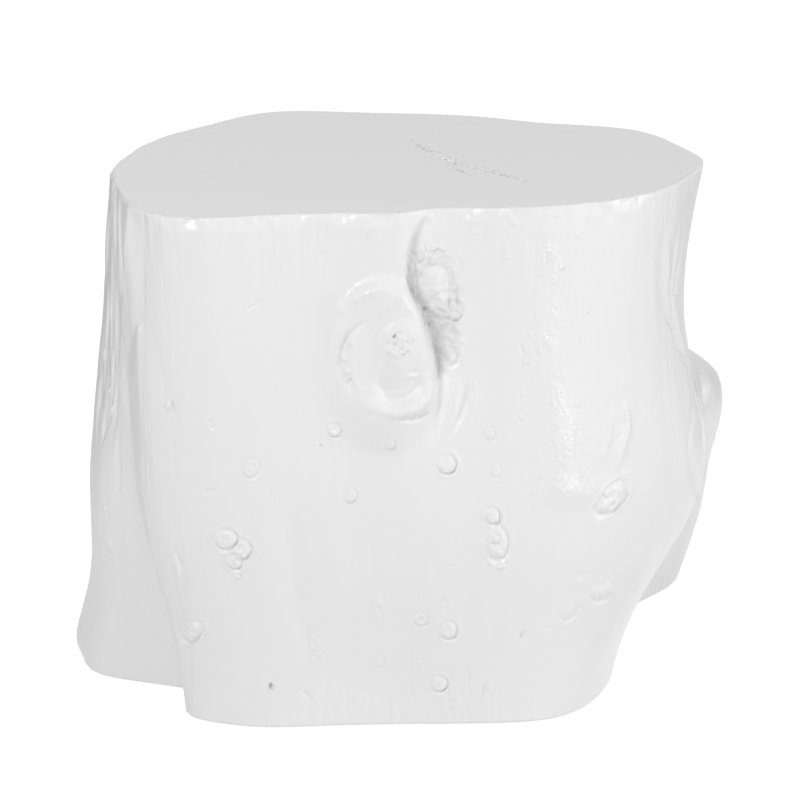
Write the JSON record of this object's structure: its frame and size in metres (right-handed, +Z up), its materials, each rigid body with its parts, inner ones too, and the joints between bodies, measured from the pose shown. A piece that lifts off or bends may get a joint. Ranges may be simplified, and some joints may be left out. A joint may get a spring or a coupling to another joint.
{
  "type": "log stool",
  "caption": "Low stool with the form of a cut tree trunk: a glossy white hollow moulded shell with a flat seat, a knot, a crevice and flared root lobes, closed below by a board on glides.",
  "frame": {"origin": "on the floor, under the middle of the stool's box", "axes": "+X to the right of the pictured front and along the stool's longest side, +Y to the back, +Z up; the pictured front, with the knot and the crevice, faces -Y"},
  "size_m": [0.569, 0.4472, 0.43],
  "materials": {
    "gel_coat": "glossy white gel coat over a glass-fibre laminate, smooth on the seat, with wood grain moulded into the sides",
    "plywood": "plain sanded plywood, hidden inside and underneath",
    "timber": "sawn softwood, hidden inside",
    "zinc": "zinc-plated steel screws",
    "glide_plastic": "hard white plastic, slightly satin"
  },
  "bodies": {
    "root": {"trunk_shell": "gel_coat", "seat_core": "plywood", "base_panel": "plywood", "base_block_1": "timber", "base_block_2": "timber", "base_block_3": "timber", "base_block_4": "timber", "base_block_5": "timber", "base_block_6": "timber", "base_screw_1": "zinc", "base_screw_2": "zinc", "base_screw_3": "zinc", "base_screw_4": "zinc", "base_screw_5": "zinc", "base_screw_6": "zinc", "glide_1": "glide_plastic", "glide_2": "glide_plastic", "glide_3": "glide_plastic", "glide_4": "glide_plastic", "glide_5": "glide_plastic", "glide_screw_1": "zinc", "glide_screw_2": "zinc", "glide_screw_3": "zinc", "glide_screw_4": "zinc", "glide_screw_5": "zinc"}
  },
  "joints": []
}
